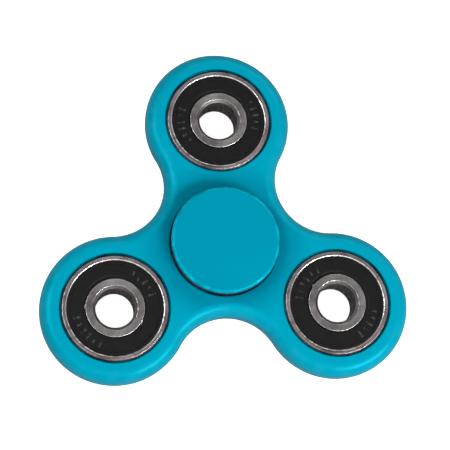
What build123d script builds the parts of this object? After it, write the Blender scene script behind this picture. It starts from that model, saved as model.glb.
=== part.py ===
"""A three-lobed fidget spinner: a moulded body, four small sealed ball bearings and two finger caps.

Millimetres. +Z is the spin axis. The origin is on that axis, at the face of the rear cap that rests on a table.
"""

import os
from math import cos, isclose, radians, sin
from string import ascii_lowercase

from build123d import *

os.makedirs("parts", exist_ok=True)

# ---- Bearing: the common 8 x 22 x 7 deep-groove size, used once in the hub and once in each lobe ----
bearing_bore = 8.0
bearing_diameter = 22.0
bearing_width = 7.0
ball_diameter = 3.969
ball_count = 7
race_clearance = 0.03  # play between a ball and the bottom of each race
race_conformity = 1.04  # radius of the race groove over the radius of the ball
inner_shoulder = 0.53  # depth of the race in the inner ring
outer_shoulder = 0.76  # depth of the race in the outer ring
bore_chamfer = 0.6
ring_chamfer = 0.35
shoulder_chamfer = 0.15
outer_ring_land = 1.3  # width of the steel rim that shows round a seal

# ---- Pressed ribbon cage: two wavy halves riveted together between the balls ----
pocket_clearance = 0.05
cage_sheet = 0.3
cage_clearance = 0.5  # from the ribbon's edges to the rings' shoulders
rivet_share = 0.35  # shank radius over the half-width of the flat between two pockets
rivet_head_share = 0.6
rivet_head_height = 0.22

# ---- Rubber seals ----
seal_gap = 0.3155  # from the top of the cage's pockets to the inside of the seal
seal_recess = 0.2  # how far the seal lies below the face of the ring
seal_bead = 0.12  # how far the seal's rim reaches into the groove of the outer ring
seal_rim_play = 0.04
seal_lip_play = 0.12  # from the seal's lip to the inner ring

# ---- Body ----
lobe_count = 3
first_lobe_angle = 90.0
lobe_wall = 4.3  # plastic round a lobe's bearing
web = 4.4  # plastic between the hub's bearing and a lobe's bearing
edge_round = 2.8
seat_mouth = 0.2

# ---- Finger caps: a disc, a boss that lands on the inner ring, and half of the axle ----
cap_overlap = 0.2  # how far the disc reaches past the rim of the bearing
cap_thickness = 1.8
cap_gap = 0.9  # air between the disc and the bearing
cap_edge_round = 0.7
cap_under_round = 0.9
boss_margin = 0.6  # from the boss's edge in to the edge of the inner ring
stem_clearance = 0.02
stem_chamfer = 0.3
stem_end_gap = 0.1  # between the ends of the two stems, so that the bosses clamp the ring
pin_radius = 2.0
pin_length = 2.8
pin_chamfer = 0.3
socket_spare = 0.2  # depth of the socket past the end of the pin

# ---- Derived: bearing ----
bore_radius = bearing_bore / 2
bearing_radius = bearing_diameter / 2
half_width = bearing_width / 2
ball_radius = ball_diameter / 2
pitch_radius = (bore_radius + bearing_radius) / 2
groove_radius = ball_radius * race_conformity
inner_race_bottom = pitch_radius - ball_radius - race_clearance
outer_race_bottom = pitch_radius + ball_radius + race_clearance
inner_ring_radius = inner_race_bottom + inner_shoulder
outer_ring_bore = outer_race_bottom - outer_shoulder
pocket_radius = ball_radius + pocket_clearance
pocket_shell_radius = pocket_radius + cage_sheet
cage_inner_radius = inner_ring_radius + cage_clearance
cage_outer_radius = outer_ring_bore - cage_clearance
ball_step = 360 / ball_count
rivet_reach = 2 * pitch_radius * sin(radians(ball_step / 4)) - pocket_shell_radius
rivet_radius = rivet_reach * rivet_share
rivet_head_radius = rivet_reach * rivet_head_share
seal_floor = pocket_shell_radius + seal_gap
seal_face = half_width - seal_recess
seal_bead_height = (seal_face - seal_floor) / 2
seal_seat_radius = bearing_radius - outer_ring_land
seal_inner_radius = inner_ring_radius + seal_lip_play
seal_rim_radius = seal_seat_radius - seal_rim_play
seal_bead_radius = seal_seat_radius + seal_bead
snap_groove_radius = seal_bead_radius + seal_rim_play

# ---- Derived: body and caps ----
seat_radius = bearing_radius
lobe_radius = seat_radius + lobe_wall
arm_radius = 2 * seat_radius + web
lobe_step = 360 / lobe_count
waist_angle = lobe_step / 2  # from a lobe to the waist after it
waist_radius = 2 * arm_radius * sin(radians(waist_angle / 2)) - lobe_radius
lobe_half_turn = 90 + waist_angle / 2  # from a lobe's tip to the point where its arc meets a waist's
body_bottom = cap_thickness + cap_gap
body_thickness = bearing_width
middle = body_bottom + body_thickness / 2
cap_radius = bearing_radius + cap_overlap
boss_radius = inner_ring_radius - boss_margin
stem_radius = bore_radius - stem_clearance
stem_length = half_width - stem_end_gap / 2
pin_height = stem_length + stem_end_gap + pin_length


def around(angle):
    """The point on the circle of the lobes' centres at an angle in degrees."""
    return (arm_radius * cos(radians(angle)), arm_radius * sin(radians(angle)))


lobe_angles = [first_lobe_angle + lobe * lobe_step for lobe in range(lobe_count)]

# ---- Body: lobe arcs and waist arcs that meet tangentially, all centred on one circle ----
with BuildPart() as body:
    with BuildSketch(Plane.XY.offset(body_bottom)):
        with BuildLine():
            for angle in lobe_angles:
                CenterArc(around(angle), lobe_radius, angle - lobe_half_turn, 2 * lobe_half_turn)
                waist_start = angle + lobe_half_turn - 180
                CenterArc(around(angle + waist_angle), waist_radius, waist_start, waist_angle - 180)
        make_face()
    extrude(amount=body_thickness)
    fillet(body.faces().filter_by(Axis.Z).edges(), edge_round)
    with BuildSketch(Plane.XY.offset(body_bottom)):
        Circle(seat_radius)
        with PolarLocations(arm_radius, lobe_count, start_angle=first_lobe_angle):
            Circle(seat_radius)
    extrude(amount=body_thickness, mode=Mode.SUBTRACT)
    face_edges = body.faces().filter_by(Axis.Z).edges()
    mouths = face_edges.filter_by(lambda edge: isclose(edge.radius, seat_radius, rel_tol=1e-6))
    chamfer(mouths, seat_mouth)
body.part.label = "body"
export_step(body.part, "parts/body.step")

# ---- Front cap: its stem is bored to take the rear cap's pin ----
front_face = body_bottom + body_thickness
with BuildPart() as front_cap:
    with BuildSketch(Plane.XY.offset(front_face + cap_gap)):
        Circle(cap_radius)
    extrude(amount=cap_thickness)
    fillet(front_cap.edges().sort_by(Axis.Z)[-1], cap_edge_round)
    fillet(front_cap.edges().sort_by(Axis.Z)[0], cap_under_round)
    with BuildSketch(Plane.XY.offset(front_face)):
        Circle(boss_radius)
    extrude(amount=cap_gap)
    with BuildSketch(Plane.XY.offset(front_face)):
        Circle(stem_radius)
    extrude(amount=-stem_length)
    chamfer(front_cap.edges().sort_by(Axis.Z)[0], stem_chamfer)
    with BuildSketch(Plane.XY.offset(front_face - stem_length)):
        Circle(pin_radius)
    extrude(amount=pin_length + socket_spare, mode=Mode.SUBTRACT)
front_cap.part.label = "front_cap"
export_step(front_cap.part, "parts/front_cap.step")

# ---- Rear cap: the same disc and boss, with a stem that ends in the pin ----
with BuildPart() as rear_cap:
    with BuildSketch():
        Circle(cap_radius)
    extrude(amount=cap_thickness)
    fillet(rear_cap.edges().sort_by(Axis.Z)[0], cap_edge_round)
    fillet(rear_cap.edges().sort_by(Axis.Z)[-1], cap_under_round)
    with BuildSketch(Plane.XY.offset(cap_thickness)):
        Circle(boss_radius)
    extrude(amount=cap_gap)
    with BuildSketch(Plane.XY.offset(body_bottom)):
        Circle(stem_radius)
    extrude(amount=stem_length)
    chamfer(rear_cap.edges().sort_by(Axis.Z)[-1], stem_chamfer)
    with BuildSketch(Plane.XY.offset(body_bottom)):
        Circle(pin_radius)
    extrude(amount=pin_height)
    chamfer(rear_cap.edges().sort_by(Axis.Z)[-1], pin_chamfer)
rear_cap.part.label = "rear_cap"
export_step(rear_cap.part, "parts/rear_cap.step")

# ---- Bearings: the same eight pieces at the hub and in each lobe ----
places = {"hub": (0.0, 0.0)}
for letter, angle in zip(ascii_lowercase, lobe_angles):
    places[f"lobe_{letter}"] = around(angle)

for place, (x, y) in places.items():
    seat = Plane(origin=(x, y, middle))
    section = Plane(origin=(x, y, middle), x_dir=(1, 0, 0), z_dir=(0, -1, 0))
    bearing_axis = Axis((x, y, 0), (0, 0, 1))

    # Outer ring: its race is an arc, and each face has a recess and a groove that hold a seal.
    with BuildPart() as outer_ring:
        with BuildSketch(section):
            with Locations(((bearing_radius + outer_ring_bore) / 2, 0)):
                ring = Rectangle(bearing_radius - outer_ring_bore, bearing_width)
            chamfer(ring.vertices().group_by(Axis.X)[-1], ring_chamfer)
            with Locations((outer_race_bottom - groove_radius, 0)):
                Circle(groove_radius, mode=Mode.SUBTRACT)
            for side in (1, -1):
                with Locations((seal_seat_radius / 2, side * (seal_floor + half_width) / 2)):
                    Rectangle(seal_seat_radius, half_width - seal_floor, mode=Mode.SUBTRACT)
                with Locations((snap_groove_radius / 2, side * (seal_floor + seal_bead_height / 2))):
                    Rectangle(snap_groove_radius, seal_bead_height, mode=Mode.SUBTRACT)
        revolve(axis=bearing_axis)
    outer_ring.part.label = f"{place}_outer_ring"
    export_step(outer_ring.part, f"parts/{place}_outer_ring.step")

    # Inner ring
    with BuildPart() as inner_ring:
        with BuildSketch(section):
            with Locations(((bore_radius + inner_ring_radius) / 2, 0)):
                ring = Rectangle(inner_ring_radius - bore_radius, bearing_width)
            chamfer(ring.vertices().group_by(Axis.X)[0], bore_chamfer)
            chamfer(ring.vertices().group_by(Axis.X)[-1], shoulder_chamfer)
            with Locations((inner_race_bottom + groove_radius, 0)):
                Circle(groove_radius, mode=Mode.SUBTRACT)
        revolve(axis=bearing_axis)
    inner_ring.part.label = f"{place}_inner_ring"
    export_step(inner_ring.part, f"parts/{place}_inner_ring.step")

    # Balls
    with BuildPart(seat) as balls:
        with PolarLocations(pitch_radius, ball_count):
            Sphere(ball_radius)
    balls.part.label = f"{place}_balls"
    export_step(balls.part, f"parts/{place}_balls.step")

    # Cage rivets: a shank through both halves of the cage, and a head on each side
    with BuildPart(seat) as rivets:
        with PolarLocations(pitch_radius, ball_count, start_angle=ball_step / 2):
            Cylinder(rivet_radius, 2 * cage_sheet)
        for side in (1, -1):
            with Locations(Plane.XY.offset(side * (cage_sheet + rivet_head_height / 2))):
                with PolarLocations(pitch_radius, ball_count, start_angle=ball_step / 2):
                    Cylinder(rivet_head_radius, rivet_head_height)
    rivets.part.label = f"{place}_cage_rivets"
    export_step(rivets.part, f"parts/{place}_cage_rivets.step")

    for side, name in ((1, "front"), (-1, "rear")):
        # Half of the cage: a flat ribbon that bulges over each ball
        with BuildPart(seat) as cage:
            with BuildSketch(seat):
                Circle(cage_outer_radius)
            extrude(amount=side * cage_sheet)
            with PolarLocations(pitch_radius, ball_count):
                Sphere(pocket_shell_radius)
            with PolarLocations(pitch_radius, ball_count):
                Sphere(pocket_radius, mode=Mode.SUBTRACT)
            with BuildSketch(seat):
                Circle(cage_outer_radius)
                Circle(cage_inner_radius, mode=Mode.SUBTRACT)
            extrude(amount=side * pocket_shell_radius, mode=Mode.INTERSECT)
            with PolarLocations(pitch_radius, ball_count, start_angle=ball_step / 2):
                Cylinder(rivet_radius, 4 * cage_sheet, mode=Mode.SUBTRACT)
        cage.part.label = f"{place}_cage_{name}"
        export_step(cage.part, f"parts/{place}_cage_{name}.step")

        # Seal: a flat rubber washer with a bead that snaps into the outer ring
        with BuildPart() as seal:
            with BuildSketch(section):
                with Locations(((seal_inner_radius + seal_rim_radius) / 2, side * (seal_floor + seal_face) / 2)):
                    Rectangle(seal_rim_radius - seal_inner_radius, seal_face - seal_floor)
                bead_middle = seal_floor + seal_bead_height / 2
                with Locations(((seal_inner_radius + seal_bead_radius) / 2, side * bead_middle)):
                    Rectangle(seal_bead_radius - seal_inner_radius, seal_bead_height)
            revolve(axis=bearing_axis)
        seal.part.label = f"{place}_{name}_seal"
        export_step(seal.part, f"parts/{place}_{name}_seal.step")
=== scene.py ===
# %% [markdown]
# # A fidget spinner, dressed for its portrait
#
# The spinner is a moulded three-lobed body, a ball bearing in its hub between two finger caps, and an open
# ball bearing in each lobe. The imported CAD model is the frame: it says where each piece lies and how it
# moves. This lesson builds the surfaces that are seen, one piece at a time, and rides each on the CAD body
# that it moves with.

# %% The frame
from math import atan2, cos, pi, radians, sin, sqrt, tan

import bmesh
import bpy
from mathutils import Matrix, Vector


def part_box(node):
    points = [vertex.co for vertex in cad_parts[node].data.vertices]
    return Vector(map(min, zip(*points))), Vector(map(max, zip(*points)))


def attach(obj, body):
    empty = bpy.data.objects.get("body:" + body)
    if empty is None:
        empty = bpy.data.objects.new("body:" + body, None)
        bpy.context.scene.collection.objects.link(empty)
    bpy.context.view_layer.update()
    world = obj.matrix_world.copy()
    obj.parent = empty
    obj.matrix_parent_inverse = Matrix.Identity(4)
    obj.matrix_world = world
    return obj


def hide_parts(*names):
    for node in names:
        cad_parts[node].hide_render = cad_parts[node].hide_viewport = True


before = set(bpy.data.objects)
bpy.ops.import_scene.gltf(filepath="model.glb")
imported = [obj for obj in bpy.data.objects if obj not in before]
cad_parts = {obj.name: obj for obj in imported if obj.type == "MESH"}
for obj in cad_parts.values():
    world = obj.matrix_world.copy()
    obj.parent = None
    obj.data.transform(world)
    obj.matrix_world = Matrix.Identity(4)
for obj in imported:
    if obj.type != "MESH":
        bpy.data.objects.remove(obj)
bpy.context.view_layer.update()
scene = bpy.context.scene

# %% [markdown]
# ## Sizes, read from the frame
#
# A model is easiest to keep true when each size has one source. The places and outer sizes come from the
# CAD nodes' boxes, and follow the CAD model. Sizes that a box doesn't show, such as a chamfer, are named
# values here, in millimetres, worked into metres by one factor. They are changed when the CAD model
# changes.

# %% Sizes and places
MM = 0.001

body_low, body_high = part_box("body")
cap_low, cap_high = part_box("front_cap")
rear_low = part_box("rear_cap")[0]
ring_low, ring_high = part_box("hub_outer_ring")
inner_low, inner_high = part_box("hub_inner_ring")

body_top, body_bottom = body_high.z, body_low.z
body_middle = (body_top + body_bottom) / 2
bearing_radius = (ring_high.x - ring_low.x) / 2
half_width = (ring_high.z - ring_low.z) / 2
inner_radius = (inner_high.x - inner_low.x) / 2
cap_radius = (cap_high.x - cap_low.x) / 2
bore_radius = 4.0 * MM

places = {}
for place in ("hub", "lobe_a", "lobe_b", "lobe_c"):
    low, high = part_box(f"{place}_outer_ring")
    places[place] = (low + high) / 2
arm_radius = (places["lobe_a"].xy - places["hub"].xy).length
lobe_radius = body_high.y - places["lobe_a"].y
print("bearing radius", round(bearing_radius / MM, 2), "mm, arm", round(arm_radius / MM, 2), "mm")

# %% [markdown]
# ## The lathe
#
# Rings, seals and caps are all turned shapes, and on the real object most of them come off a lathe or out
# of a round mould. A Screw modifier would do it, but a small function that spins a profile gives clean
# quads, closes the loop by itself and lets each corner of the profile carry its own radius. Small radii
# matter most here: a metal or plastic edge is never sharp, and the thin bright line that runs round it is
# what makes it look real. The function also writes into a vertex attribute, edge, how each corner is
# coloured: up to 1 where fingers wear it bright, which on the caps' rims and the bores' walls is also
# painted light, 0 where nothing changes, and down to -1 where dirt and painted shade gather. The materials
# read it.

# %% Rounded profiles
# A holding point beside each round corner keeps the flat next to it flat. HOLD is how far off it lies, as a
# share of the corner's radius. SHELTER_SPREAD makes a sheltered corner dark over more of its arc than a
# rubbed one is bright.
HOLD = 0.3
SHELTER_SPREAD = 2.5


def rounded(corners, steps=6):
    """A closed, anticlockwise profile of corners in mm, as points with their edge value.

    A corner is (radius, height, fillet) or (radius, height, fillet, rub). Without rub, a round corner is 1
    where it sticks out and 0 where it turns in, and a sharp corner is 0.
    """
    points = []
    for index, (r, z, fillet, *edge_override) in enumerate(corners):
        here = Vector((r, z))
        if fillet == 0:
            points.append((here, edge_override[0] if edge_override else 0.0))
            continue
        before = Vector(corners[index - 1][:2])
        after = Vector(corners[(index + 1) % len(corners)][:2])
        back, on = (before - here).normalized(), (after - here).normalized()
        half = back.angle(on) / 2
        middle = here + (back + on).normalized() * (fillet / sin(half))
        start, end = here + back * (fillet / tan(half)), here + on * (fillet / tan(half))
        first = atan2(*reversed(start - middle))
        turn = (atan2(*reversed(end - middle)) - first + pi) % (2 * pi) - pi
        amount = edge_override[0] if edge_override else float(turn > 0)
        points.append((start + back * fillet * HOLD, 0.0))
        for step in range(steps + 1):
            angle = first + turn * step / steps
            share = sin(pi * step / steps)
            value = amount * share if amount > 0 else amount * min(1.0, SHELTER_SPREAD * share)
            points.append((middle + fillet * Vector((cos(angle), sin(angle))), value))
        points.append((end + on * fillet * HOLD, 0.0))
    return points


square = [(1, 0, 0.2), (3, 0, 0.2), (3, 2, 0.2), (1, 2, 0.2)]
print("points in a rounded square:", len(rounded(square)))


# %% The lathe
SHARP_DEGREES = 38


def new_object(name, bm, material):
    """A smooth-shaded object from a bmesh, which it frees."""
    mesh = bpy.data.meshes.new(name)
    bm.normal_update()
    bm.to_mesh(mesh)
    bm.free()
    mesh.shade_smooth()
    mesh.set_sharp_from_angle(angle=radians(SHARP_DEGREES))
    piece = bpy.data.objects.new(name, mesh)
    scene.collection.objects.link(piece)
    mesh.materials.append(material)
    return piece


def spin_profile(bm, profile, steps):
    """Spins a closed profile round Z into quads, or triangles at the axis, and marks its exposure."""
    edge = bm.verts.layers.float.get("edge") or bm.verts.layers.float.new("edge")
    rings = []
    for step in range(steps):
        angle = 2 * pi * step / steps
        ring = []
        for point, exposure in profile:
            vert = bm.verts.new((point.x * MM * cos(angle), point.x * MM * sin(angle), point.y * MM))
            vert[edge] = exposure
            ring.append(vert)
        rings.append(ring)
    count = len(profile)
    for step, ring in enumerate(rings):
        following = rings[(step + 1) % steps]
        for i in range(count):
            j = (i + 1) % count
            bm.faces.new((ring[i], following[i], following[j], ring[j]))
    bmesh.ops.remove_doubles(bm, verts=bm.verts, dist=0.0001 * MM)
    bmesh.ops.recalc_face_normals(bm, faces=bm.faces)


def place_piece(piece, centre, flip, cad_node, body):
    """Puts a piece that was turned about its own origin in its place, and gives it to its CAD body."""
    piece.location = centre
    if flip:
        piece.rotation_euler = (pi, 0, 0)
    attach(piece, body)
    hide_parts(cad_node)
    return piece


print("edges over", SHARP_DEGREES, "degrees stay sharp")

# %% [markdown]
# ## Effects that several materials share
#
# Each effect is a node group with named inputs and outputs, so the plastic, the rubber and the steel can
# use the same grain with their own values. A group only puts out numbers that change over the surface:
# masks and heights. The shader itself stays in each material. All of them read object coordinates in
# metres, so a grain has a real size and stays on its piece when the piece turns.

# %% Node helpers
def group(name, inputs, outputs):
    """An empty shader node group with float sockets, ready for nodes."""
    tree = bpy.data.node_groups.new(name, "ShaderNodeTree")
    for socket, default in inputs.items():
        made = tree.interface.new_socket(socket, in_out="INPUT", socket_type="NodeSocketFloat")
        made.default_value = default
    for socket in outputs:
        tree.interface.new_socket(socket, in_out="OUTPUT", socket_type="NodeSocketFloat")
    return tree, tree.nodes.new("NodeGroupInput"), tree.nodes.new("NodeGroupOutput")


def math_node(tree, operation, *values, clamp=False):
    """A Math node fed by sockets or plain numbers. Returns its output."""
    node = tree.nodes.new("ShaderNodeMath")
    node.operation = operation
    node.use_clamp = clamp
    for slot_index, value in enumerate(values):
        if isinstance(value, (int, float)):
            node.inputs[slot_index].default_value = value
        else:
            tree.links.new(value, node.inputs[slot_index])
    return node.outputs[0]


def spread(tree, value, low, high, out_low=0.0, out_high=1.0):
    """A Map Range node that clamps. Returns its output."""
    node = tree.nodes.new("ShaderNodeMapRange")
    node.inputs["From Min"].default_value = low
    node.inputs["From Max"].default_value = high
    node.inputs["To Min"].default_value = out_low
    node.inputs["To Max"].default_value = out_high
    tree.links.new(value, node.inputs["Value"])
    return node.outputs[0]


def grain_noise(tree, size, detail=2.0, vector=None):
    """Noise whose features are about size millimetres across. size is a number or a socket."""
    node = tree.nodes.new("ShaderNodeTexNoise")
    node.inputs["Detail"].default_value = detail
    if vector is None:
        vector = tree.nodes.new("ShaderNodeTexCoord").outputs["Object"]
    tree.links.new(vector, node.inputs["Vector"])
    if isinstance(size, (int, float)):
        node.inputs["Scale"].default_value = 1 / (size * MM)
    else:
        tree.links.new(math_node(tree, "DIVIDE", 1 / MM, size), node.inputs["Scale"])
    return node.outputs["Fac"]


# %% [markdown]
# **Moulded grain.** Plastic and rubber copy the skin of their mould: a very fine pebble, plus slow waves
# where the melt cooled unevenly. Two noises at real sizes give the pebble and the waves. The waves go into
# colour and roughness, and both go into the height.

# %% Moulded grain
def make_moulded_grain():
    sizes = {"Pebble mm": 0.12, "Wave mm": 9.0}
    tree, given, out = group("moulded_grain", sizes, ["Pebble", "Wave", "Height"])
    pebble = grain_noise(tree, given.outputs["Pebble mm"], detail=3.0)
    wave = grain_noise(tree, given.outputs["Wave mm"], detail=1.0)
    tree.links.new(pebble, out.inputs["Pebble"])
    tree.links.new(wave, out.inputs["Wave"])
    tree.links.new(math_node(tree, "MULTIPLY_ADD", wave, 3.0, pebble), out.inputs["Height"])
    return tree


moulded_grain = make_moulded_grain()
print("group:", moulded_grain.name)

# %% [markdown]
# ** Edge wear and painted light.** Handling brightens the most exposed edges first, in patches. On the
# caps' rims this is also a painted highlight, and on the bores' walls painted light. Sheltered seams are
# drawn dark, which stands for grime and for painted shade too fine for the mesh. The edge attribute says
# which is which, and a noise breaks both up. Geometry's Pointiness would need no attribute, but it depends
# on the density of the mesh, so the same wear would look different on each piece.

# %% Edge wear and painted light
def make_edge_wear_and_light():
    tree, given, out = group("edge_wear_and_light", {"Patch mm": 1.6, "Amount": 0.5}, ["Mask", "Grime_and_shade"])
    edge = tree.nodes.new("ShaderNodeAttribute")
    edge.attribute_name = "edge"
    patches = grain_noise(tree, given.outputs["Patch mm"], detail=4.0)
    # Where the edge is above zero it is brightened: wear, and on the caps' rims and the bores' walls painted
    # light as well.
    lightened = math_node(tree, "MULTIPLY", edge.outputs["Fac"], spread(tree, patches, 0.42, 0.68))
    mask = math_node(tree, "MULTIPLY", lightened, given.outputs["Amount"], clamp=True)
    tree.links.new(mask, out.inputs["Mask"])
    # Where the edge is below zero it is darkened: painted shade and grime in the seams.
    sheltered = spread(tree, patches, 0.35, 0.6, -1.0, -0.8)
    dark_seams = math_node(tree, "MULTIPLY", edge.outputs["Fac"], sheltered, clamp=True)
    tree.links.new(dark_seams, out.inputs["Grime_and_shade"])
    return tree


edge_wear_and_light = make_edge_wear_and_light()
print("group:", edge_wear_and_light.name)

# %% [markdown]
# **Turning marks.** The faces of a bearing ring are ground while the ring turns, which leaves fine circles.
# They are made from the distance to the piece's own axis, so each ring is built about its own origin. A
# noise along the circles breaks them, because a perfect groove looks like a gramophone record.

# %% Turning marks
def distance_from_axis(tree, where):
    """The distance of a point from the piece's own Z axis."""
    flat = tree.nodes.new("ShaderNodeVectorMath")
    flat.operation = "MULTIPLY"
    flat.inputs[1].default_value = (1, 1, 0)
    tree.links.new(where, flat.inputs[0])
    length = tree.nodes.new("ShaderNodeVectorMath")
    length.operation = "LENGTH"
    tree.links.new(flat.outputs[0], length.inputs[0])
    return length.outputs["Value"]


def make_turning_marks():
    tree, given, out = group("turning_marks", {"Pitch mm": 0.09}, ["Lines", "Patches"])
    where = tree.nodes.new("ShaderNodeTexCoord").outputs["Object"]
    apart = tree.nodes.new("ShaderNodeSeparateXYZ")
    tree.links.new(where, apart.inputs[0])
    drift = math_node(tree, "MULTIPLY", grain_noise(tree, 2.5, detail=1.0, vector=where), 0.05 * MM)
    spiral = math_node(tree, "ADD", distance_from_axis(tree, where), drift)
    reach = math_node(tree, "ADD", spiral, apart.outputs["Z"])
    along = tree.nodes.new("ShaderNodeCombineXYZ")
    tree.links.new(reach, along.inputs["X"])
    lines = grain_noise(tree, given.outputs["Pitch mm"], detail=3.0, vector=along.outputs[0])
    tree.links.new(lines, out.inputs["Lines"])
    tree.links.new(grain_noise(tree, 1.8, detail=4.0, vector=where), out.inputs["Patches"])
    return tree


turning_marks = make_turning_marks()
print("group:", turning_marks.name)

# %% [markdown]
# **Dust.** A few pale specks, each a fraction of a millimetre, sit on matte black rubber even when it is
# clean.

# %% Dust
def make_dust():
    tree, given, out = group("dust", {"Speck mm": 0.22, "Amount": 0.5}, ["Mask"])
    cells = tree.nodes.new("ShaderNodeTexVoronoi")
    tree.links.new(tree.nodes.new("ShaderNodeTexCoord").outputs["Object"], cells.inputs["Vector"])
    tree.links.new(math_node(tree, "DIVIDE", 1 / MM, given.outputs["Speck mm"]), cells.inputs["Scale"])
    speck = spread(tree, cells.outputs["Distance"], 0.10, 0.22, 1.0, 0.0)
    few = spread(tree, grain_noise(tree, 0.9, detail=3.0), 0.58, 0.72)
    specks = math_node(tree, "MULTIPLY", speck, few)
    mask = math_node(tree, "MULTIPLY", specks, given.outputs["Amount"], clamp=True)
    tree.links.new(mask, out.inputs["Mask"])
    return tree


dust = make_dust()
print("group:", dust.name)

# %% [markdown]
# **Hub shade.** The flat plastic round the caps looks darker than the rest, most likely because the caps
# shade it. The soft light here gives too little of that shade, so this mask paints it into the colour. It
# therefore stays the same in every light and from every side, which real shade doesn't. The mask is
# strongest near the spin axis, fades outwards, is broken up by a noise, and is held back where the edge
# attribute says that the surface is exposed.

# %% Hub shade
def make_hub_shade():
    tree, given, out = group("hub_shade", {"Inner mm": 14.0, "Outer mm": 20.0}, ["Mask"])
    where = tree.nodes.new("ShaderNodeTexCoord").outputs["Object"]
    reach = distance_from_axis(tree, where)
    node = tree.nodes.new("ShaderNodeMapRange")
    node.interpolation_type = "SMOOTHSTEP"
    tree.links.new(math_node(tree, "MULTIPLY", given.outputs["Inner mm"], MM), node.inputs["From Min"])
    tree.links.new(math_node(tree, "MULTIPLY", given.outputs["Outer mm"], MM), node.inputs["From Max"])
    tree.links.new(reach, node.inputs["Value"])
    node.inputs["To Min"].default_value, node.inputs["To Max"].default_value = 1.0, 0.0
    edge = tree.nodes.new("ShaderNodeAttribute")
    edge.attribute_name = "edge"
    exposed = math_node(tree, "MULTIPLY", edge.outputs["Fac"], 1.6)
    held = math_node(tree, "SUBTRACT", 1.0, exposed, clamp=True)
    patches = spread(tree, grain_noise(tree, 5.0, detail=3.0), 0.3, 0.7, 0.75, 1.0)
    mask = math_node(tree, "MULTIPLY", node.outputs[0], patches)
    tree.links.new(math_node(tree, "MULTIPLY", mask, held), out.inputs["Mask"])
    return tree


hub_shade = make_hub_shade()
print("group:", hub_shade.name)

# %% [markdown]
# ## Materials
#
# Each material is one Principled shader. The groups above feed its colour, roughness and bump, and the
# values that are the same everywhere, such as the metal's full metallic, are set on the shader's own
# sockets.

# %% Material helpers
def new_material(name):
    """A material with a node tree. Returns it with its tree and its Principled shader."""
    material = bpy.data.materials.new(name)
    material.use_nodes = True
    return material, material.node_tree, material.node_tree.nodes["Principled BSDF"]


def use(tree, effect, **values):
    """Places a node group in a material with its own values. A name's underscores stand for spaces."""
    node = tree.nodes.new("ShaderNodeGroup")
    node.node_tree = effect
    for name, value in values.items():
        node.inputs[name.replace("_", " ")].default_value = value
    return node.outputs


def mix_colour(tree, factor, first, second):
    """A colour between two, each a colour or a socket. Returns the socket."""
    node = tree.nodes.new("ShaderNodeMix")
    node.data_type = "RGBA"
    tree.links.new(factor, node.inputs["Factor"])
    for socket, value in ((node.inputs[6], first), (node.inputs[7], second)):
        if isinstance(value, tuple):
            socket.default_value = (*value, 1.0)
        else:
            tree.links.new(value, socket)
    return node.outputs[2]


def bump(tree, shader, height, depth, strength=1.0):
    """Feeds a height through a Bump node to the shader's normal. depth is in millimetres."""
    node = tree.nodes.new("ShaderNodeBump")
    node.inputs["Strength"].default_value = strength
    node.inputs["Distance"].default_value = depth * MM
    tree.links.new(height, node.inputs["Height"])
    tree.links.new(node.outputs["Normal"], shader.inputs["Normal"])


# %% [markdown]
# ** Turquoise plastic.** The body and caps are injection-moulded, most likely in ABS, with the colour right
# through, so wear shows as a paler and glossier edge and not as another colour. The caps' rims are the
# palest, and their pale colour is partly wear and partly a painted highlight. The skin has a satin gloss:
# sharp enough to show a bright streak along a rounded edge, soft enough to hide the lamp's outline. Real
# plastic has white highlights. Here Specular Tint makes them turquoise, because white ones looked washed
# out on such a vivid colour.

# %% Turquoise plastic
# Sheltered seams are darkened to this colour: painted shade and grime round the bearings' seats and under
# the caps.
SEAM_GRIME_AND_SHADE = (0.0, 0.012, 0.018)
HUB_SHADE = (0.0, 0.25, 0.375)


def make_turquoise(name, base, deep, pale, roughness, lighten_amount, shaded):
    material, tree, shader = new_material(name)
    grain = use(tree, moulded_grain, Pebble_mm=0.16, Wave_mm=11.0)
    wear = use(tree, edge_wear_and_light, Patch_mm=2.2, Amount=lighten_amount)
    tone = mix_colour(tree, spread(tree, grain["Wave"], 0.3, 0.7), deep, base)
    if shaded:
        shade = use(tree, hub_shade, Inner_mm=12.5, Outer_mm=19.0)
        tone = mix_colour(tree, shade["Mask"], tone, HUB_SHADE)
    lightened = mix_colour(tree, wear["Mask"], tone, pale)
    tree.links.new(mix_colour(tree, wear["Grime_and_shade"], lightened, SEAM_GRIME_AND_SHADE), shader.inputs["Base Color"])
    skin = spread(tree, grain["Wave"], 0.25, 0.75, roughness + 0.05, roughness - 0.04)
    polished = math_node(tree, "MULTIPLY", wear["Mask"], 0.12)
    tree.links.new(math_node(tree, "SUBTRACT", skin, polished), shader.inputs["Roughness"])
    shader.inputs["IOR"].default_value = 1.5
    shader.inputs["Specular Tint"].default_value = (0.0, 0.8, 1.0, 1.0)
    bump(tree, shader, grain["Height"], depth=0.004, strength=0.35)
    return material


# The third tone of each set is the pale edge. The caps' pale edge is lighter and goes on more strongly than
# the body's: it is partly wear and partly a painted highlight along the rims.
BODY_TONES = ((0.0, 0.368, 0.525), (0.0, 0.346, 0.497), (0.02, 0.45, 0.60))
CAP_TONES = ((0.0, 0.322, 0.468), (0.0, 0.306, 0.448), (0.0, 0.52, 0.70))
body_plastic = make_turquoise("turquoise_body", *BODY_TONES, roughness=0.32, lighten_amount=0.35, shaded=True)
cap_plastic = make_turquoise("turquoise_cap", *CAP_TONES, roughness=0.23, lighten_amount=1.6, shaded=False)
print("materials:", body_plastic.name, cap_plastic.name)

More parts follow.
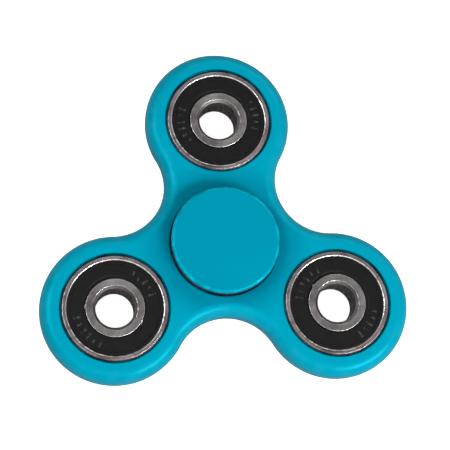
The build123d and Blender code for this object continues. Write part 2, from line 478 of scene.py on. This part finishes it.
# %% [markdown]
# ** Bearing steel.** The rings are hardened steel, given a brownish cast as a film of oil would. Full
# metallic, a mid-grey colour, and turning marks in the roughness and bump. The corners beside the seal and
# the bore are rubbed, so they are the brightest part. The walls of the bores get a little of the same
# bright tone as painted light, which stands in for the light that comes up the bore from the floor. The
# outer rings' outside corners are darkened with painted shade and oil.

# %% Bearing steel
# Worn corners are brightened to this colour, and the bores' walls partly, as painted light.
BRIGHT_STEEL = (0.97, 0.94, 0.92)
# The outer rings' outside corners, down in their seats, are darkened to this colour: painted shade and oil.
OIL_GRIME_AND_SHADE = (0.030, 0.017, 0.018)
RING_TONES = ((0.60, 0.52, 0.545), (0.24, 0.19, 0.205))
BORE_TONES = ((0.58, 0.54, 0.54), (0.26, 0.24, 0.24))


def make_ring_steel(name, bright, dull, roughness, pitch):
    material, tree, shader = new_material(name)
    marks = use(tree, turning_marks, Pitch_mm=pitch)
    wear = use(tree, edge_wear_and_light, Patch_mm=0.7, Amount=2.2)
    stains = math_node(tree, "ADD", marks["Patches"], grain_noise(tree, 6.0, detail=1.0))
    speckled = math_node(tree, "MULTIPLY_ADD", grain_noise(tree, 0.32, detail=2.0), 0.9, stains)
    tone = mix_colour(tree, spread(tree, speckled, 1.15, 1.75), dull, bright)
    brightened = mix_colour(tree, wear["Mask"], tone, BRIGHT_STEEL)
    tree.links.new(mix_colour(tree, wear["Grime_and_shade"], brightened, OIL_GRIME_AND_SHADE), shader.inputs["Base Color"])
    rough = spread(tree, marks["Lines"], 0.25, 0.75, roughness - 0.08, roughness + 0.12)
    tree.links.new(math_node(tree, "MULTIPLY_ADD", wear["Mask"], -0.16, rough), shader.inputs["Roughness"])
    shader.inputs["Metallic"].default_value = 1.0
    shader.inputs["Anisotropic"].default_value = 0.55
    around = tree.nodes.new("ShaderNodeTangent")
    around.direction_type = "RADIAL"
    around.axis = "Z"
    tree.links.new(around.outputs[0], shader.inputs["Tangent"])
    bump(tree, shader, marks["Lines"], depth=0.004, strength=0.5)
    return material


ring_steel = make_ring_steel("bearing_ring_steel", *RING_TONES, roughness=0.38, pitch=0.10)
inner_steel = make_ring_steel("bearing_bore_steel", *BORE_TONES, roughness=0.40, pitch=0.12)
print("materials:", ring_steel.name, inner_steel.name)

# %% [markdown]
# **Seal rubber.** Moulded nitrile rubber is a soft black with a fine grain, a wide faint sheen and some
# dust. The raised marks on it are rubbed slightly shiny, so exposure lowers the roughness.

# %% Seal rubber
RUBBER_DEEP = (0.0030, 0.0030, 0.0034)
RUBBER_TONE = (0.0055, 0.0055, 0.006)
RUBBER_RUBBED = (0.10, 0.10, 0.103)
DUST_TONE = (0.10, 0.10, 0.10)
# Sheltered corners of the seal, at its rim, in its groove and at its lip, are darkened to this: painted
# shade and grime.
GROOVE_DARK = (0.001, 0.001, 0.001)


def make_rubber():
    material, tree, shader = new_material("seal_rubber")
    grain = use(tree, moulded_grain, Pebble_mm=0.10, Wave_mm=3.0)
    specks = use(tree, dust, Speck_mm=0.30, Amount=0.35)
    wear = use(tree, edge_wear_and_light, Patch_mm=0.6, Amount=1.0)
    tone = mix_colour(tree, spread(tree, grain["Wave"], 0.3, 0.7), RUBBER_DEEP, RUBBER_TONE)
    brightened = mix_colour(tree, wear["Mask"], tone, RUBBER_RUBBED)
    dusty = mix_colour(tree, specks["Mask"], brightened, DUST_TONE)
    tree.links.new(mix_colour(tree, wear["Grime_and_shade"], dusty, GROOVE_DARK), shader.inputs["Base Color"])
    skin = spread(tree, grain["Pebble"], 0.3, 0.7, 0.62, 0.48)
    polished = math_node(tree, "MULTIPLY", wear["Mask"], 0.15)
    tree.links.new(math_node(tree, "SUBTRACT", skin, polished), shader.inputs["Roughness"])
    shader.inputs["IOR"].default_value = 1.48
    shader.inputs["Specular IOR Level"].default_value = 0.3
    bump(tree, shader, grain["Pebble"], depth=0.012, strength=0.5)
    return material


rubber = make_rubber()
print("material:", rubber.name)

# %% [markdown]
# **Steel inside the bearings.** Balls are polished, and the cage is pressed from thin sheet and tumbled, so
# it is duller and blotched. These pieces are sealed in, and are only seen if the bearing is opened.

# %% Steel inside the bearings
def make_inside_steel(name, bright, dull, blotch, low, high):
    material, tree, shader = new_material(name)
    grain = use(tree, moulded_grain, Pebble_mm=blotch / 6, Wave_mm=blotch)
    tone = mix_colour(tree, spread(tree, grain["Wave"], 0.3, 0.7), dull, bright)
    tree.links.new(tone, shader.inputs["Base Color"])
    tree.links.new(spread(tree, grain["Pebble"], 0.3, 0.7, low, high), shader.inputs["Roughness"])
    shader.inputs["Metallic"].default_value = 1.0
    bump(tree, shader, grain["Pebble"], depth=0.002, strength=0.3)
    return material


ball_steel = make_inside_steel("ball_steel", (0.82, 0.82, 0.83), (0.72, 0.72, 0.73), 1.5, 0.06, 0.14)
cage_steel = make_inside_steel("cage_steel", (0.56, 0.55, 0.53), (0.40, 0.39, 0.38), 0.9, 0.30, 0.48)
rivet_steel = make_inside_steel("rivet_steel", (0.60, 0.59, 0.57), (0.45, 0.44, 0.43), 0.5, 0.25, 0.40)
print("materials:", ball_steel.name, cage_steel.name, rivet_steel.name)

# %% [markdown]
# ## The body
#
# The outline is six arcs: one round each lobe and one at each waist, and where two arcs meet they are
# tangent. All six centres lie on one circle, so an inset outline is the same six arcs with the lobes'
# radius smaller and the waists' radius larger. That makes the rounded edge easy: a stack of insets that
# follow a quarter circle. A Bevel modifier on an extruded shape would also round it, but here the mesh
# stays even, and the exposure of each loop is known. The flat faces are filled between the outline and the
# four bearing seats. The seats' mouths are rounded more than the CAD model's 0.2 mm chamfer, so that a dark
# seam shows round each ring, and a fine parting ridge is added where the two halves of the mould would
# meet.

# %% The body's outline
EDGE_ROUND = 2.8
SEAT_MOUTH = 0.34
HUB_MOUTH = 0.5
PARTING_RIDGE = 0.025
PARTING_FOOT = 0.1  # from the ridge's crest to its foot, up and down the wall
FACE_HOLD = 0.3  # a loop this far inside the rounding keeps the flat face flat
SEAT_HOLD = 0.05
MOUTH_STEPS = 6
LOBE_POINTS = 120
WAIST_POINTS = 60
lobe_angles = (90, 210, 330)
waist_radius = arm_radius - lobe_radius


def outline(inset):
    """The outline moved inwards by inset millimetres, as points in metres."""
    points = []
    for angle in lobe_angles:
        for turn_to, radius, start, sweep, count in (
            (angle, lobe_radius - inset * MM, angle - 120, 240, LOBE_POINTS),
            (angle + 60, waist_radius + inset * MM, angle - 60, -120, WAIST_POINTS),
        ):
            centre = Vector((cos(radians(turn_to)), sin(radians(turn_to)))) * arm_radius
            for step in range(count):
                spoke = radians(start + sweep * step / count)
                points.append(centre + radius * Vector((cos(spoke), sin(spoke))))
    return points


print("outline points:", len(outline(0)))


# %% The body's loops
def half_levels(round_steps=14):
    """(inset, depth below the face, exposure) from the face's edge down to the wall, in millimetres."""
    levels = [(EDGE_ROUND + FACE_HOLD, 0.0, 0.0)]
    for step in range(round_steps + 1):
        angle = pi / 2 * (1 - step / round_steps)
        levels.append((EDGE_ROUND * (1 - cos(angle)), EDGE_ROUND * (1 - sin(angle)), sin(2 * angle)))
    return levels


def stitch(bm, upper, lower):
    """Joins two loops of the same length with quads."""
    for i in range(len(upper)):
        j = (i + 1) % len(upper)
        bm.faces.new((upper[i], lower[i], lower[j], upper[j]))


def circle(radius, centre, count=128):
    """Points round a circle, in metres."""
    turns = [2 * pi * i / count for i in range(count)]
    return [centre + radius * Vector((cos(turn), sin(turn))) for turn in turns]


# The mouth's edge values are below zero, so the seam round each ring is drawn dark with painted shade and
# grime.
def seat_mouth(size):
    """(distance out from the seat, depth, exposure) from the face round to the wall, in millimetres."""
    points = [(size + SEAT_HOLD, 0.0, 0.0)]
    for step in range(MOUTH_STEPS + 1):
        angle = pi / 2 * step / MOUTH_STEPS
        points.append((size * (1 - sin(angle)), size * (1 - cos(angle)), -min(1.0, 0.5 + step / 2)))
    return points


def build_body():
    bm = bmesh.new()
    edge = bm.verts.layers.float.new("edge")

    def loop(points, z, exposure):
        verts = [bm.verts.new((p.x, p.y, z)) for p in points]
        for vert in verts:
            vert[edge] = exposure
        return verts

    top_half = [(inset, body_top - depth * MM, exposure) for inset, depth, exposure in half_levels()]
    bottom_half = [(inset, body_bottom + depth * MM, exposure) for inset, depth, exposure in half_levels()]
    foot = PARTING_FOOT * MM
    crest = (-PARTING_RIDGE, body_middle, 0.3)
    parting = [(0, body_middle + foot, 0.0), crest, (0, body_middle - foot, 0.0)]
    levels = top_half + parting + bottom_half[::-1]
    shell = [loop(outline(inset), z, exposure) for inset, z, exposure in levels]
    for upper, lower in zip(shell, shell[1:]):
        stitch(bm, upper, lower)
    rims = {body_top: [shell[0]], body_bottom: [shell[-1]]}

    for place, centre in places.items():
        mouth = seat_mouth(HUB_MOUTH if place == "hub" else SEAT_MOUTH)
        wall = []
        for face, inwards in ((body_top, -1), (body_bottom, 1)):
            stack = [
                loop(circle(bearing_radius + out * MM, centre.xy), face + inwards * down * MM, exposure)
                for out, down, exposure in mouth
            ]
            rims[face].append(stack[0])
            wall.append(stack)
        seat = wall[0] + wall[1][::-1]
        for upper, lower in zip(seat, seat[1:]):
            stitch(bm, upper, lower)
    for loops in rims.values():
        edges = [bm.edges.get((ring[i], ring[i - 1])) for ring in loops for i in range(len(ring))]
        bmesh.ops.triangle_fill(bm, edges=edges, use_beauty=True)
    bmesh.ops.recalc_face_normals(bm, faces=bm.faces)
    return new_object("spinner_body", bm, body_plastic)


spinner_body = build_body()
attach(spinner_body, "rotor")
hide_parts("body")
print("body faces:", len(spinner_body.data.polygons))

# %% [markdown]
# ## The finger caps
#
# Each cap is a disc to hold, a boss that lands on the inner ring, and half of the axle. Both are turned
# from one profile: the front cap's stem ends in a socket, and the rear cap's in the pin that presses into
# it.

# %% Cap profiles
CAP_THICKNESS = 1.8
CAP_GAP = 0.9
CAP_EDGE = 0.7
CAP_UNDER_EDGE = 0.9
BOSS_RADIUS = 5.416
STEM_RADIUS = 3.98
STEM_LENGTH = 3.45
PIN_RADIUS = 2.0
PIN_END = 6.35
SOCKET_END = 0.45  # above the bearing's face, and hidden in the cap
STEM_CORNER = 0.3
CAP_STEPS = 192


def cap_profile(has_pin):
    """Half a cap in section, anticlockwise, with heights outwards from the bearing's face."""
    disc = [
        (BOSS_RADIUS, 0, 0.05),
        # the corner under the disc is drawn dark with painted shade and grime
        (BOSS_RADIUS, CAP_GAP, 0.1, -1),
        (cap_radius / MM, CAP_GAP, CAP_UNDER_EDGE, 0),
        (cap_radius / MM, CAP_GAP + CAP_THICKNESS, CAP_EDGE),
        (cap_radius / MM * 0.5, CAP_GAP + CAP_THICKNESS, 0),
        (0, CAP_GAP + CAP_THICKNESS, 0),
    ]
    stem = [(STEM_RADIUS, -STEM_LENGTH, STEM_CORNER), (STEM_RADIUS, 0, 0)]
    if has_pin:
        pin = [(0, -PIN_END, 0), (PIN_RADIUS, -PIN_END, STEM_CORNER), (PIN_RADIUS, -STEM_LENGTH, 0)]
        return pin + stem + disc
    socket = [(0, SOCKET_END, 0), (PIN_RADIUS, SOCKET_END, 0), (PIN_RADIUS, -STEM_LENGTH, 0)]
    return socket + stem + disc


print("corners in the caps' profiles:", len(cap_profile(True)), "and", len(cap_profile(False)))


# %% Build the caps
def build_cap(name, node, has_pin, flip):
    bm = bmesh.new()
    spin_profile(bm, rounded(cap_profile(has_pin), steps=8), CAP_STEPS)
    cap = new_object(name, bm, cap_plastic)
    face = body_bottom if flip else body_top
    return place_piece(cap, Vector((0, 0, face)), flip, node, "hub")


front_cap = build_cap("finger_cap_front", "front_cap", False, False)
rear_cap = build_cap("finger_cap_rear", "rear_cap", True, True)
print("cap faces:", len(front_cap.data.polygons), len(rear_cap.data.polygons))

# %% [markdown]
# ## The bearing rings
#
# Both rings are turned and ground, with a curved race for the balls. The outer ring has a recess in each
# face that holds a seal, and a chamfered outer corner that leads it into its seat. The corner above the
# recess is sharp in the CAD model. Here it is rounded, because it draws the bright line inside the ring.
# The inner ring has a wide chamfer at the bore.

# %% Ring profiles
RING_CHAMFER = 0.35
CHAMFER_CORNER = 0.12
MOUTH_CORNER = 0.44
SEAL_SEAT = 9.7
SNAP_GROOVE = 9.86
SEAL_FLOOR = 2.65
BEAD_TOP = 2.975
OUTER_SHOULDER = 8.7545
OUTER_RACE_CENTRE = 7.4505
INNER_RACE_CENTRE = 7.5493
RACE_RADIUS = 2.0639
BORE_CHAMFER = 0.6
BORE_LIGHT_REACH = 2.4  # the bore's wall carries the painted light up to this far above and below the ring's middle
# How much of the bright tone the bores' walls get, as painted light for the light that comes up the bore.
BORE_PAINTED_LIGHT = 0.35
OUTER_STEPS, INNER_STEPS = 160, 128


def race(centre, side, shoulder, steps=18):
    """Points on the race's arc between its shoulders. side is 1 where it bulges outwards, -1 inwards."""
    reach = sqrt(RACE_RADIUS**2 - (shoulder - centre) ** 2)
    half_turn = atan2(reach, side * (shoulder - centre))
    turns = [half_turn * (1 - 2 * step / steps) for step in range(steps + 1)]
    return [(centre + side * RACE_RADIUS * cos(turn), side * RACE_RADIUS * sin(turn), 0) for turn in turns]


def mirrored(corners):
    """The same corners below the middle of the ring, in the order that closes the profile."""
    return [(r, -z, *rest) for r, z, *rest in reversed(corners)]


def outer_ring_profile():
    half, outside = half_width / MM, bearing_radius / MM
    upper = [
        # this corner sits down in the seat and is drawn dark with painted shade and oil
        (outside, half - RING_CHAMFER, CHAMFER_CORNER, -1),
        (outside - RING_CHAMFER, half, CHAMFER_CORNER, 0.35),
        (SEAL_SEAT, half, MOUTH_CORNER),
        (SEAL_SEAT, BEAD_TOP, 0),
        (SNAP_GROOVE, BEAD_TOP, 0),
        (SNAP_GROOVE, SEAL_FLOOR, 0),
        (OUTER_SHOULDER, SEAL_FLOOR, 0),
    ]
    return rounded(upper + race(OUTER_RACE_CENTRE, 1, OUTER_SHOULDER) + mirrored(upper))


def inner_ring_profile():
    half, outside, bore = half_width / MM, inner_radius / MM, bore_radius / MM
    chamfer = [(bore + BORE_CHAMFER, half, 0.12), (bore, half - BORE_CHAMFER, 0.1)]
    upper = [(outside, half, 0.14)] + chamfer + [(bore, BORE_LIGHT_REACH, 0, BORE_PAINTED_LIGHT)]
    return rounded(mirrored(upper) + race(INNER_RACE_CENTRE, -1, outside) + upper)


print("points in the rings' profiles:", len(outer_ring_profile()), "and", len(inner_ring_profile()))


# %% Turn the rings
def build_ring(name, profile, steps, material):
    bm = bmesh.new()
    spin_profile(bm, profile, steps)
    return new_object(name, bm, material)


for place, centre in places.items():
    outer = build_ring(f"{place}_ring_outer", outer_ring_profile(), OUTER_STEPS, ring_steel)
    place_piece(outer, centre, False, f"{place}_outer_ring", "rotor")
    inner = build_ring(f"{place}_ring_inner", inner_ring_profile(), INNER_STEPS, inner_steel)
    inner_body = "hub" if place == "hub" else f"{place}_inner"
    place_piece(inner, centre, False, f"{place}_inner_ring", inner_body)
print("faces in a ring:", len(outer.data.polygons), len(inner.data.polygons))

# %% [markdown]
# ## The seals
#
# A seal is a rubber washer moulded on a steel disc. Its bead snaps into the outer ring, a fine groove runs
# inside its rim, and its lip just clears the inner ring. Real seals carry raised lettering. Here two rows
# of plain raised bars take its place. They are built as small bevelled blocks in the seal's own mesh,
# because they catch the light.

# %% Seal profile
SEAL_RIM = 9.66
SEAL_BEAD = 9.82
SEAL_FACE = 3.3
SEAL_FIELD = 3.27
SEAL_LIP = 6.136
GROOVE_IN, GROOVE_OUT, GROOVE_FLOOR = 9.0, 9.14, 3.16
MARK_RADIUS = 7.95
MARK_SIZE = (1.6, 0.5, 0.26)  # along the radius, across it, and up
MARK_TOP = 3.38
LIP_EDGE, LIP_FOOT, LIP_STEP = 6.72, 6.6, 0.12  # the seal steps down to its lip between these radii
SHORT_MARK = 0.62  # every third bar is this share of the others' length
MARK_BEVEL, MARK_RUB = 0.045, 0.8
SEAL_STEPS = 160


def seal_profile():
    return rounded(
        [
            (SEAL_LIP, SEAL_FLOOR, 0.05, 0),
            (SEAL_BEAD, SEAL_FLOOR, 0.05, 0),
            (SEAL_BEAD, BEAD_TOP, 0.05, 0),
            (SEAL_RIM, BEAD_TOP, 0),
            # corners with a value below zero are drawn dark with painted shade and grime
            (SEAL_RIM, SEAL_FACE, 0.1, -1),
            (GROOVE_OUT, SEAL_FACE, 0.04, 0.4),
            (GROOVE_OUT, GROOVE_FLOOR, 0.03, -1),
            (GROOVE_IN, GROOVE_FLOOR, 0.03, -1),
            (GROOVE_IN, SEAL_FIELD, 0.04, 0.4),
            (LIP_EDGE, SEAL_FIELD, 0.08, 0.5),
            (LIP_FOOT, SEAL_FIELD - LIP_STEP, 0.05, -1),
            (SEAL_LIP, SEAL_FIELD - LIP_STEP, 0.08, -0.6),
        ],
        steps=4,
    )


print("points in a seal's profile:", len(seal_profile()))


# %% Build the seals
def add_marks(bm, turn, rows):
    """Raises rows of bars on the seal's face. A row is (middle angle, number of bars, pitch) in degrees."""
    edge = bm.verts.layers.float["edge"]
    for middle, count, pitch in rows:
        for index in range(count):
            angle = radians(turn + middle + (index - (count - 1) / 2) * pitch)
            share = SHORT_MARK if index % 3 == 1 else 1.0
            size = Matrix.Diagonal((MARK_SIZE[0] * share * MM, MARK_SIZE[1] * MM, MARK_SIZE[2] * MM, 1))
            middle_height = (MARK_TOP - MARK_SIZE[2] / 2) * MM
            out = Matrix.Rotation(angle, 4, "Z") @ Matrix.Translation((MARK_RADIUS * MM, 0, middle_height))
            made = bmesh.ops.create_cube(bm, size=1.0, matrix=out @ size)
            edges = list({e for vert in made["verts"] for e in vert.link_edges})
            bevelled = bmesh.ops.bevel(
                bm, geom=edges, offset=MARK_BEVEL * MM, segments=2, affect="EDGES", profile=0.5
            )
            for vert in bevelled["verts"]:
                vert[edge] = MARK_RUB


mark_rows = ((180, 6, 10.5), (0, 5, 10.5))
mark_turns = {"hub": 0, "lobe_a": 8, "lobe_b": 40, "lobe_c": -35}  # how far each bearing lies turned

for place, centre in places.items():
    for side, flip in (("front", False), ("rear", True)):
        bm = bmesh.new()
        spin_profile(bm, seal_profile(), SEAL_STEPS)
        add_marks(bm, mark_turns[place], mark_rows)
        seal = new_object(f"{place}_seal_{side}", bm, rubber)
        place_piece(seal, centre, flip, f"{place}_{side}_seal", "rotor")
print("faces in a seal:", len(seal.data.polygons))

# %% [markdown]
# ## Inside the bearings
#
# Balls, cages and rivets have their final shape in the CAD model already, so those nodes stay as they are
# and only get their materials.

# %% Materials for the nodes that stay
inside = {"balls": ball_steel, "cage_front": cage_steel, "cage_rear": cage_steel, "cage_rivets": rivet_steel}
for place in places:
    for name, material in inside.items():
        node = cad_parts[f"{place}_{name}"]
        node.data.materials.clear()
        node.data.materials.append(material)
print("nodes kept:", len(places) * len(inside))

# %% [markdown]
# ## Floor, light and camera
#
# The spinner lies on its rear cap on a plain pale floor. The floor is white only to the camera: it glows
# there, as a light table does, so that the bores show white and shadows on it stay faint. To reflections
# and bounced light it is a dark grey that doesn't glow, so the undersides and the gaps stay dark. The world
# works the same way: white to the camera, dim to everything else. Two strips of light do the drawing: one
# at the front right and one at the left. They put the narrow streaks along the rounded edges and the arcs
# on the rings. Two larger boxes fill the rest.

# %% Floor
FLOOR_GLOW = 0.9
FLOOR_SHADE = (0.34, 0.34, 0.34)
FLOOR_GAP = 0.02  # from the rear cap down to the floor


def make_floor():
    material, tree, shader = new_material("pale_floor")
    seen = tree.nodes.new("ShaderNodeLightPath").outputs["Is Camera Ray"]
    pale = mix_colour(tree, grain_noise(tree, 60.0, detail=2.0), (0.86, 0.86, 0.86), (0.90, 0.90, 0.90))
    tree.links.new(mix_colour(tree, seen, FLOOR_SHADE, pale), shader.inputs["Base Color"])
    shader.inputs["Roughness"].default_value = 0.8
    shader.inputs["Specular IOR Level"].default_value = 0.1
    shader.inputs["Emission Color"].default_value = (1, 1, 1, 1)
    tree.links.new(spread(tree, seen, 0.0, 1.0, 0.0, FLOOR_GLOW), shader.inputs["Emission Strength"])
    bm = bmesh.new()
    bmesh.ops.create_grid(bm, x_segments=8, y_segments=8, size=1.5)
    floor = new_object("floor", bm, material)
    floor.location.z = rear_low.z - FLOOR_GAP * MM
    return floor


floor = make_floor()
print("floor at", round(floor.location.z / MM, 2), "mm")


# %% Light
WORLD_FILL, WORLD_SEEN = 0.15, 1.0


def add_softbox(name, azimuth, elevation, distance, size, power):
    """A rectangular area light that looks at the hub.

    Angles are in degrees, with azimuth from +X towards +Y. Distance and size are in metres, power in watts.
    """
    lamp = bpy.data.lights.new(name, "AREA")
    lamp.shape = "RECTANGLE"
    lamp.size, lamp.size_y = size
    lamp.energy = power
    box = bpy.data.objects.new(name, lamp)
    a, e = radians(azimuth), radians(elevation)
    towards = Vector((cos(a) * cos(e), sin(a) * cos(e), sin(e)))
    box.location = Vector((0, 0, body_middle)) + towards * distance
    box.rotation_euler = towards.to_track_quat("Z", "Y").to_euler()
    scene.collection.objects.link(box)
    return box


add_softbox("front_strip", -49, 38, 0.42, (0.26, 0.10), 1.35)
add_softbox("left_strip", 170, 47, 0.45, (0.24, 0.17), 0.8)
add_softbox("front_fill", -112, 50, 0.60, (0.5, 0.35), 0.5)
add_softbox("back_fill", 60, 40, 0.60, (0.5, 0.25), 0.5)

world = bpy.data.worlds.new("studio")
world.use_nodes = True
sky = world.node_tree.nodes["Background"]
sky.inputs["Color"].default_value = (1, 1, 1, 1)
in_view = world.node_tree.nodes.new("ShaderNodeLightPath").outputs["Is Camera Ray"]
strength = spread(world.node_tree, in_view, 0.0, 1.0, WORLD_FILL, WORLD_SEEN)
world.node_tree.links.new(strength, sky.inputs["Strength"])
scene.world = world
scene.view_settings.view_transform = "Standard"

# %% Camera
CAMERA_AZIMUTH = -120.1
CAMERA_ELEVATION = 74.27
CAMERA_DISTANCE = 282.7
CAMERA_ROLL = -2.79
AIM = (0.27, 3.60)
SENSOR, LENS = 36.0, 109.3


def add_camera():
    """Looks down at a point near the hub, level with the body's top face. Roll is measured from +Y."""
    a, e = radians(CAMERA_AZIMUTH), radians(CAMERA_ELEVATION)
    back = Vector((cos(a) * cos(e), sin(a) * cos(e), sin(e)))
    aim = Vector((AIM[0] * MM, AIM[1] * MM, body_top))
    level = (Vector((0, 1, 0)) - back * back.y).normalized()
    across = level.cross(back)
    roll = radians(CAMERA_ROLL)
    up = level * cos(roll) - across * sin(roll)
    pose = Matrix((up.cross(back), up, back)).transposed().to_4x4()
    pose.translation = aim + back * CAMERA_DISTANCE * MM
    data = bpy.data.cameras.new("camera")
    data.sensor_width, data.lens = SENSOR, LENS
    data.clip_start, data.clip_end = 0.01, 10
    camera = bpy.data.objects.new("camera", data)
    camera.matrix_world = pose
    scene.collection.objects.link(camera)
    scene.camera = camera


add_camera()
print("camera at", [round(x / MM, 1) for x in scene.camera.matrix_world.translation], "mm")
